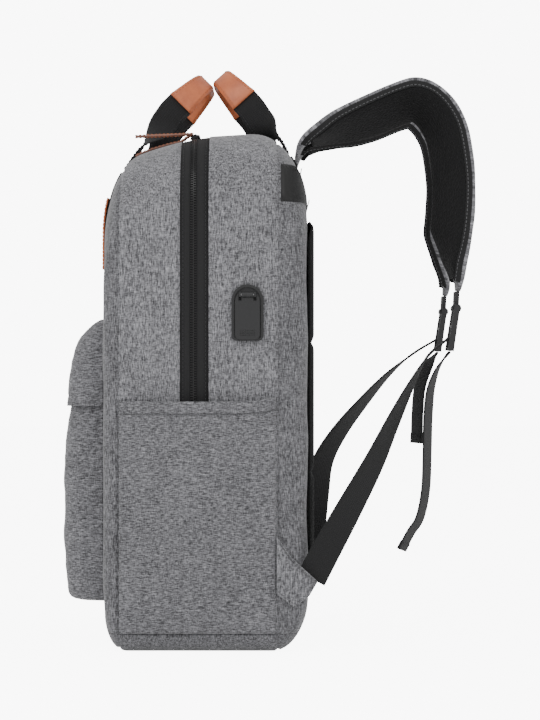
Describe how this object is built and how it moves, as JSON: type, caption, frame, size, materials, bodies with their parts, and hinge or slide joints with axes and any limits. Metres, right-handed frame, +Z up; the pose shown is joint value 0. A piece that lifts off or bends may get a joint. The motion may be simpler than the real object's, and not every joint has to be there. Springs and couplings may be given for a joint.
{
  "type": "laptop backpack",
  "caption": "Fabric laptop backpack with padded shoulder straps, a front pocket with a lid, two hand loops and a covered USB charging port in its side.",
  "frame": {"origin": "centre of the flat base, on the ground, under the middle of the main body", "axes": "+X towards the wearer's right side, where the USB port is, +Y towards the wearer's back and the shoulder straps, +Z up"},
  "size_m": [0.3236, 0.3584, 0.5025],
  "materials": {
    "fabric": "heather plain weave, matt",
    "spacer_mesh": "open spacer mesh, matt",
    "webbing": "ribbed webbing",
    "leather": "smooth tan, satin",
    "pull_leather": "smooth brown, satin",
    "coated_fabric": "smooth coated, satin",
    "zip_tape": "woven tape, matt",
    "zip_coil": "satin",
    "black_metal": "satin black",
    "plastic": "fine moulded grain",
    "steel": "plated",
    "lining": "smooth lining"
  },
  "bodies": {
    "bag": {"base_panel": "fabric", "rear_shell": "fabric", "front_panel": "fabric", "back_pad": "spacer_mesh", "strap_yoke": "coated_fabric", "zipper_tape_rear": "zip_tape", "zipper_coil_rear": "zip_coil", "zipper_tape_lower_right": "zip_tape", "zipper_tape_lower_left": "zip_tape", "zipper_coil_lower_right": "zip_coil", "zipper_coil_lower_left": "zip_coil", "front_pocket": "fabric", "pocket_tab": "leather", "side_pocket_right": "fabric", "side_pocket_left": "fabric", "laptop_sleeve": "lining", "power_bank_pocket": "lining", "usb_housing": "plastic", "usb_socket": "steel", "usb_backing_plate": "plastic", "usb_hinge_pin": "steel", "rear_handle_anchor_right": "webbing", "rear_handle_anchor_left": "webbing", "strap_tab_right": "fabric", "strap_tab_left": "fabric", "webbing_lower_right": "webbing", "webbing_lower_left": "webbing"},
    "front_cover": {"front_cover": "fabric", "zipper_tape_front": "zip_tape", "zipper_coil_front": "zip_coil", "front_handle_anchor_right": "webbing", "front_handle_anchor_left": "webbing", "front_handle_patch_right": "leather", "front_handle_patch_left": "leather"},
    "pocket_lid": {"pocket_lid": "fabric"},
    "front_handle": {"front_handle_grip": "leather", "front_handle_leg_right": "webbing", "front_handle_leg_left": "webbing"},
    "rear_handle": {"rear_handle_grip": "leather", "rear_handle_leg_right": "webbing", "rear_handle_leg_left": "webbing"},
    "usb_cover": {"usb_cover": "plastic"},
    "shoulder_strap_right": {"strap_shell_right": "fabric", "strap_mesh_right": "spacer_mesh", "strap_loop_right": "webbing"},
    "webbing_tail_right": {"webbing_tail_right": "webbing"},
    "ladder_lock_right": {"ladder_lock_right": "plastic"},
    "slider_right": {"zipper_slider_right": "black_metal"},
    "pull_right": {"zip_pull_right": "pull_leather"},
    "shoulder_strap_left": {"strap_shell_left": "fabric", "strap_mesh_left": "spacer_mesh", "strap_loop_left": "webbing"},
    "webbing_tail_left": {"webbing_tail_left": "webbing"},
    "ladder_lock_left": {"ladder_lock_left": "plastic"},
    "slider_left": {"zipper_slider_left": "black_metal"},
    "pull_left": {"zip_pull_left": "pull_leather"}
  },
  "joints": [
    {"name": "front_cover_fold", "type": "hinge", "parent": "bag", "child": "front_cover", "pos_m": [0, -0.081, 0.3], "axis": [1, 0, 0], "range_deg": [0, 60]},
    {"name": "pocket_lid_lift", "type": "hinge", "parent": "bag", "child": "pocket_lid", "pos_m": [0, -0.0825, 0.2797], "axis": [-1, 0, 0], "range_deg": [0, 75]},
    {"name": "front_handle_swing", "type": "hinge", "parent": "front_cover", "child": "front_handle", "pos_m": [0, -0.06675, 0.41112], "axis": [1, 0, 0], "range_deg": [0, 100]},
    {"name": "rear_handle_swing", "type": "hinge", "parent": "bag", "child": "rear_handle", "pos_m": [0, 0.07593, 0.42514], "axis": [-1, 0, 0], "range_deg": [0, 60]},
    {"name": "usb_cover_flip", "type": "hinge", "parent": "bag", "child": "usb_cover", "pos_m": [0.156, 0.0412, 0.2995], "axis": [0, -1, 0], "range_deg": [0, 100]},
    {"name": "shoulder_strap_right_swing", "type": "hinge", "parent": "bag", "child": "shoulder_strap_right", "pos_m": [0.052, 0.08304, 0.42144], "axis": [1, 0, 0], "range_deg": [-30, 0], "deforming": ["webbing_lower_right"]},
    {"name": "webbing_tail_right_hang", "type": "hinge", "parent": "shoulder_strap_right", "child": "webbing_tail_right", "pos_m": [0.078, 0.215, 0.252], "axis": [1, 0, 0], "range_deg": [0, 45]},
    {"name": "ladder_lock_right_tilt", "type": "hinge", "parent": "shoulder_strap_right", "child": "ladder_lock_right", "pos_m": [0.078, 0.2205, 0.2895], "axis": [1, 0, 0], "range_deg": [0, 30]},
    {"name": "shoulder_strap_left_swing", "type": "hinge", "parent": "bag", "child": "shoulder_strap_left", "pos_m": [-0.052, 0.08304, 0.42144], "axis": [1, 0, 0], "range_deg": [-30, 0], "deforming": ["webbing_lower_left"]},
    {"name": "webbing_tail_left_hang", "type": "hinge", "parent": "shoulder_strap_left", "child": "webbing_tail_left", "pos_m": [-0.078, 0.215, 0.252], "axis": [1, 0, 0], "range_deg": [0, 45]},
    {"name": "ladder_lock_left_tilt", "type": "hinge", "parent": "shoulder_strap_left", "child": "ladder_lock_left", "pos_m": [-0.078, 0.2205, 0.2895], "axis": [1, 0, 0], "range_deg": [0, 30]},
    {"name": "slider_right_travel", "type": "hinge", "parent": "front_cover", "child": "slider_right", "pos_m": [0.09, -0.004, 0.37499], "axis": [0, 1, 0], "range_deg": [0, 80]},
    {"name": "slider_left_travel", "type": "slide", "parent": "front_cover", "child": "slider_left", "axis": [1, 0, 0], "range_m": [-0.158, 0]},
    {"name": "pull_right_swing", "type": "hinge", "parent": "slider_right", "child": "pull_right", "pos_m": [0.089, -0.004, 0.43759], "axis": [-1, 0, 0], "range_deg": [0, 110]},
    {"name": "pull_left_swing", "type": "hinge", "parent": "slider_left", "child": "pull_left", "pos_m": [0.071, -0.004, 0.43759], "axis": [-1, 0, 0], "range_deg": [0, 110]}
  ],
  "couplings": [
    {"joint": "webbing_tail_right_hang", "follows": "shoulder_strap_right_swing", "ratio": -1.45},
    {"joint": "webbing_tail_left_hang", "follows": "shoulder_strap_left_swing", "ratio": -1.45}
  ]
}
